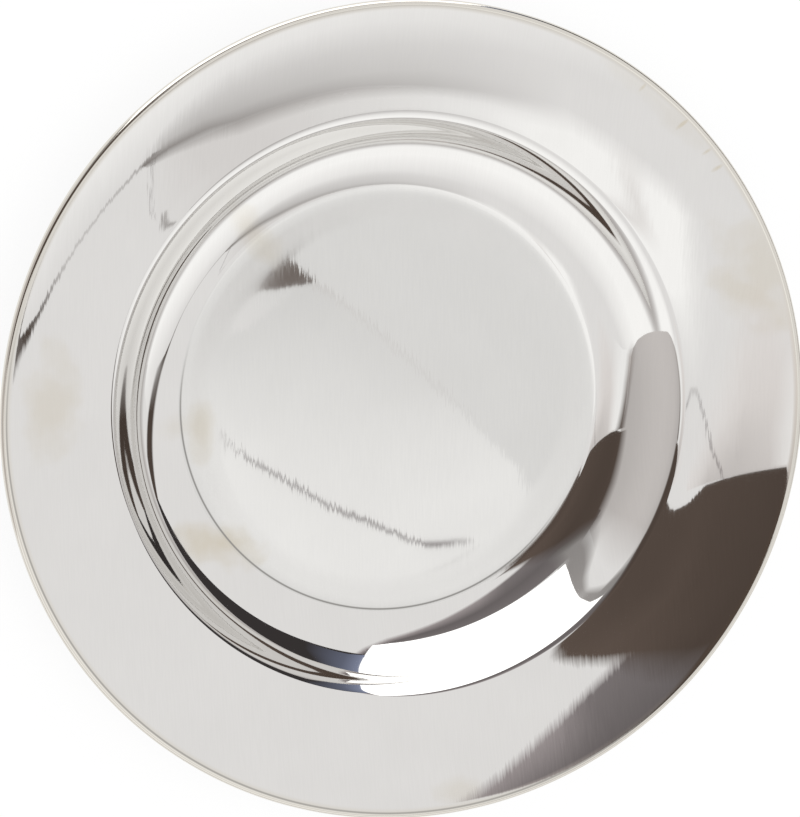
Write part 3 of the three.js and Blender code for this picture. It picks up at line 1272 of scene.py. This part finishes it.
def thin_bars(look):
    """The thin bars: two that cross the ceiling, and two that hang beside the boom."""
    stick = rod("stick", look.hood_color, (
        (182.4, 17.5, 0.3, 0.9), (193.6, 15.2, 0.25, 0.8), (205.2, 14.35, 0.25, 0.7),
        (214, 14.2, 0.25, 0.6), (220.2, 14.4, 0.3, 0.3),
    ))
    cord = rod("cord", look.hood_color, (
        (320.4, 53.4, 0.6, 0.5), (322.1, 50.4, 0.6, 0.45), (324.4, 46.7, 0.6, 0.45),
        (325, 44.5, 0.5, 0.5),
    ))
    hook = rod("hook", look.beam_color, (
        (323.7, 43.9, 0.5, 0.4), (324.3, 43.2, 0.7, 0.6), (324.9, 42.7, 0.7, 0.6),
        (325.7, 42.3, 0.5, 0.4),
    ))
    cable = rod("cable", look.hood_color, (
        (304.4, 11, 0.35, 0.3), (306.2, 13.07, 0.4, 0.9), (308.9, 14.95, 0.4, 1), (311.7, 17.25, 0.4, 1),
        (315.2, 20, 0.36, 1), (316.6, 21.3, 0.32, 1), (318.6, 22.05, 0.26, 0.9), (320.6, 22.7, 0.2, 0.2),
    ))
    return stick, cord, hook, cable


# The groups of panels, from the farthest to the nearest.
FARTHEST_FIRST = (
    ceiling_panels,
    fill_panels,
    wall_panels,
    softbox_panels,
    beam_panels,
    flag_panels,
    boom_panels,
    thin_bars,
)


def add_lamp(context):
    """A soft lamp overhead that lights the floor and doesn't show in the steel."""
    lamp = bpy.data.lights.new("overhead_lamp", "AREA")
    lamp.size = LAMP_SIZE
    lamp.energy = LAMP_POWER
    made = bpy.data.objects.new("overhead_lamp", lamp)
    made.location.z = LAMP_HEIGHT
    made.visible_camera = False
    made.visible_glossy = False
    context.scene.collection.objects.link(made)


def add_camera(context):
    """The camera at the photograph's viewing angle, with the picture's up along +Y."""
    back = direction(CAMERA_AZIMUTH, CAMERA_TILT)
    right = Vector((0.0, 1.0, 0.0)).cross(back).normalized()
    up = back.cross(right)
    turn = Matrix((right, up, back)).transposed().to_4x4()
    camera = bpy.data.objects.new("photo_view", bpy.data.cameras.new("photo_view"))
    camera.data.sensor_width = SENSOR_WIDTH
    camera.data.lens = FOCAL_LENGTH_PIXELS * SENSOR_WIDTH / PHOTO_HEIGHT
    camera.data.clip_start = CAMERA_CLIP_START
    camera.matrix_world = Matrix.Translation(CAMERA_TARGET + back * CAMERA_DISTANCE) @ turn
    context.scene.collection.objects.link(camera)
    context.scene.camera = camera


class CAMPINGPLATE_OT_stage(bpy.types.Operator):
    """Set up the floor, the studio panels, the light and the camera"""

    bl_idname = "camping_plate.stage"
    bl_label = "Stage"

    def execute(self, context):
        look = context.scene.camping_plate_look
        half = FLOOR_SIZE / 2
        corners = ((-half, -half), (half, -half), (half, half), (-half, half))
        floor_points = [(x, y, -FLOOR_DROP) for x, y in corners]
        add_stage_mesh(context, "floor", floor_points, [(0, 1, 2, 3)], floor_material(look))
        material = panel_material()
        panels = [panel for group in FARTHEST_FIRST for panel in group(look)]
        for order, panel in enumerate(panels):
            add_panel(context, panel, order, material)
        world = bpy.data.worlds.new("studio")
        world.use_nodes = True
        background = world.node_tree.nodes["Background"]
        background.inputs["Color"].default_value = (*look.surroundings_color, 1.0)
        context.scene.world = world
        context.scene.view_settings.view_transform = "Standard"
        add_lamp(context)
        add_camera(context)
        return {"FINISHED"}


class CAMPINGPLATE_PT_panel(bpy.types.Panel):
    """Buttons and values of the camping plate"""

    bl_label = "Camping Plate"
    bl_idname = "CAMPINGPLATE_PT_panel"
    bl_space_type = "VIEW_3D"
    bl_region_type = "UI"
    bl_category = "Camping Plate"

    def draw(self, context):
        scene = context.scene
        groups = (
            (CAMPINGPLATE_OT_pressed_plate, (scene.camping_plate_sizes, scene.camping_plate_finish)),
            (CAMPINGPLATE_OT_stage, (scene.camping_plate_look,)),
        )
        for operator, values in groups:
            box = self.layout.box()
            box.operator(operator.bl_idname)
            for group in values:
                for name in group.__annotations__:
                    box.prop(group, name)


CLASSES = (
    PlateSizes,
    SteelFinish,
    StudioLook,
    CAMPINGPLATE_OT_pressed_plate,
    CAMPINGPLATE_OT_stage,
    CAMPINGPLATE_PT_panel,
)


def register():
    for kind in CLASSES:
        bpy.utils.register_class(kind)
    bpy.types.Scene.camping_plate_sizes = PointerProperty(type=PlateSizes)
    bpy.types.Scene.camping_plate_finish = PointerProperty(type=SteelFinish)
    bpy.types.Scene.camping_plate_look = PointerProperty(type=StudioLook)


def unregister():
    del bpy.types.Scene.camping_plate_look
    del bpy.types.Scene.camping_plate_finish
    del bpy.types.Scene.camping_plate_sizes
    for kind in reversed(CLASSES):
        bpy.utils.unregister_class(kind)


def main():
    register()
    bpy.ops.camping_plate.pressed_plate()
    bpy.ops.camping_plate.stage()


if __name__ == "__main__":
    main()
